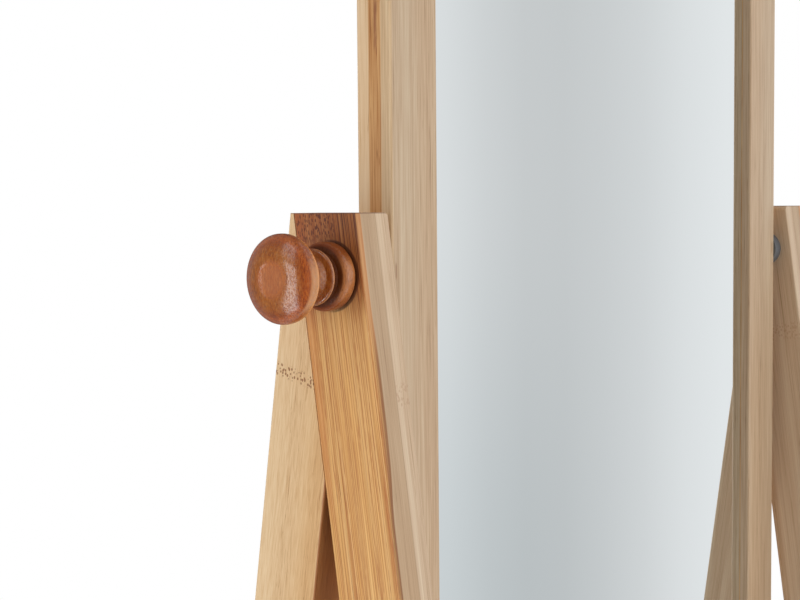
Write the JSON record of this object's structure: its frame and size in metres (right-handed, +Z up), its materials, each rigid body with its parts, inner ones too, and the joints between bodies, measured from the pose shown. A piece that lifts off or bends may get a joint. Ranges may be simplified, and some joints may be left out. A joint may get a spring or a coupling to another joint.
{
  "type": "rolling floor mirror",
  "caption": "Full-length wood-framed mirror tilting on clamping knobs between two A-shaped side frames, on a low base with swivel castors and foot brakes.",
  "frame": {"origin": "on the floor, at the centre of the object's box seen from above", "axes": "+Z up, -Y the way the glass faces, +X to the right as seen by someone looking into the glass"},
  "size_m": [0.5404, 0.441, 1.5],
  "materials": {
    "panel_bamboo": "pale laminated bamboo, satin lacquer, fine straight grain along the bar",
    "warm_bamboo": "orange-brown laminated bamboo, satin lacquer, strong fine grain along the bar",
    "pale_bamboo": "pale straw laminated bamboo, satin lacquer",
    "knob_wood": "turned red-brown wood, satin lacquer",
    "dowel_wood": "bare beech",
    "hardboard": "brown pressed board",
    "silvered_glass": "silvered float glass",
    "zinc_plated_steel": "bright zinc plate",
    "grey_nylon": "moulded grey nylon, fine matt texture",
    "soft_tread": "dark grey soft tread, matt"
  },
  "bodies": {
    "stand": {"left_front_leg": "warm_bamboo", "left_back_leg": "pale_bamboo", "right_front_leg": "warm_bamboo", "right_back_leg": "pale_bamboo", "leg_dowels": "dowel_wood", "foot_screws": "zinc_plated_steel", "left_base_rail": "warm_bamboo", "right_base_rail": "warm_bamboo", "front_cross_rail": "pale_bamboo", "rear_cross_rail": "pale_bamboo", "cross_rail_bolts": "zinc_plated_steel", "barrel_nuts": "zinc_plated_steel", "castor_sockets": "zinc_plated_steel", "left_pivot_spacer": "grey_nylon", "right_pivot_spacer": "grey_nylon", "front_left_castor_stem": "zinc_plated_steel", "front_left_castor_bearing": "zinc_plated_steel", "front_right_castor_stem": "zinc_plated_steel", "front_right_castor_bearing": "zinc_plated_steel", "rear_left_castor_stem": "zinc_plated_steel", "rear_left_castor_bearing": "zinc_plated_steel", "rear_right_castor_stem": "zinc_plated_steel", "rear_right_castor_bearing": "zinc_plated_steel"},
    "mirror": {"left_stile": "panel_bamboo", "right_stile": "panel_bamboo", "top_rail": "panel_bamboo", "bottom_rail": "panel_bamboo", "frame_dowels": "dowel_wood", "mirror_glass": "silvered_glass", "backing_board": "hardboard", "backing_screws": "zinc_plated_steel", "left_pivot_insert": "zinc_plated_steel", "right_pivot_insert": "zinc_plated_steel"},
    "left_knob": {"left_knob": "knob_wood", "left_knob_stud": "zinc_plated_steel"},
    "right_knob": {"right_knob": "knob_wood", "right_knob_stud": "zinc_plated_steel"},
    "front_left_castor": {"front_left_castor_fork": "zinc_plated_steel", "front_left_castor_axle": "zinc_plated_steel", "front_left_brake_pin": "zinc_plated_steel"},
    "front_left_wheel": {"front_left_castor_hub": "grey_nylon", "front_left_castor_tyre": "soft_tread"},
    "front_left_brake": {"front_left_brake_pedal": "grey_nylon"},
    "front_right_castor": {"front_right_castor_fork": "zinc_plated_steel", "front_right_castor_axle": "zinc_plated_steel", "front_right_brake_pin": "zinc_plated_steel"},
    "front_right_wheel": {"front_right_castor_hub": "grey_nylon", "front_right_castor_tyre": "soft_tread"},
    "front_right_brake": {"front_right_brake_pedal": "grey_nylon"},
    "rear_left_castor": {"rear_left_castor_fork": "zinc_plated_steel", "rear_left_castor_axle": "zinc_plated_steel"},
    "rear_left_wheel": {"rear_left_castor_hub": "grey_nylon", "rear_left_castor_tyre": "soft_tread"},
    "rear_right_castor": {"rear_right_castor_fork": "zinc_plated_steel", "rear_right_castor_axle": "zinc_plated_steel"},
    "rear_right_wheel": {"rear_right_castor_hub": "grey_nylon", "rear_right_castor_tyre": "soft_tread"}
  },
  "joints": [
    {"name": "mirror_tilt", "type": "hinge", "parent": "stand", "child": "mirror", "pos_m": [0, -0.0015, 0.9], "axis": [1, 0, 0], "range_deg": [-45, 45]},
    {"name": "left_knob_turn", "type": "hinge", "parent": "stand", "child": "left_knob", "pos_m": [-0.231, -0.0015, 0.9], "axis": [-1, 0, 0], "range_deg": [0, 720]},
    {"name": "right_knob_turn", "type": "hinge", "parent": "stand", "child": "right_knob", "pos_m": [0.231, -0.0015, 0.9], "axis": [1, 0, 0], "range_deg": [0, 720]},
    {"name": "front_left_swivel", "type": "hinge", "parent": "stand", "child": "front_left_castor", "pos_m": [-0.2195, -0.1685, 0.0581], "axis": [0, 0, 1], "continuous": true},
    {"name": "front_left_roll", "type": "hinge", "parent": "front_left_castor", "child": "front_left_wheel", "pos_m": [-0.2195, -0.1885, 0.025], "axis": [1, 0, 0], "continuous": true},
    {"name": "front_left_brake_press", "type": "hinge", "parent": "front_left_castor", "child": "front_left_brake", "pos_m": [-0.2195, -0.1785, 0.054], "axis": [1, 0, 0], "range_deg": [0, 8.5]},
    {"name": "front_right_swivel", "type": "hinge", "parent": "stand", "child": "front_right_castor", "pos_m": [0.2195, -0.1685, 0.0581], "axis": [0, 0, 1], "continuous": true},
    {"name": "front_right_roll", "type": "hinge", "parent": "front_right_castor", "child": "front_right_wheel", "pos_m": [0.2195, -0.1885, 0.025], "axis": [1, 0, 0], "continuous": true},
    {"name": "front_right_brake_press", "type": "hinge", "parent": "front_right_castor", "child": "front_right_brake", "pos_m": [0.2195, -0.1785, 0.054], "axis": [1, 0, 0], "range_deg": [0, 8.5]},
    {"name": "rear_left_swivel", "type": "hinge", "parent": "stand", "child": "rear_left_castor", "pos_m": [-0.2195, 0.1755, 0.0581], "axis": [0, 0, 1], "continuous": true},
    {"name": "rear_left_roll", "type": "hinge", "parent": "rear_left_castor", "child": "rear_left_wheel", "pos_m": [-0.2195, 0.1955, 0.025], "axis": [1, 0, 0], "continuous": true},
    {"name": "rear_right_swivel", "type": "hinge", "parent": "stand", "child": "rear_right_castor", "pos_m": [0.2195, 0.1755, 0.0581], "axis": [0, 0, 1], "continuous": true},
    {"name": "rear_right_roll", "type": "hinge", "parent": "rear_right_castor", "child": "rear_right_wheel", "pos_m": [0.2195, 0.1955, 0.025], "axis": [1, 0, 0], "continuous": true}
  ]
}
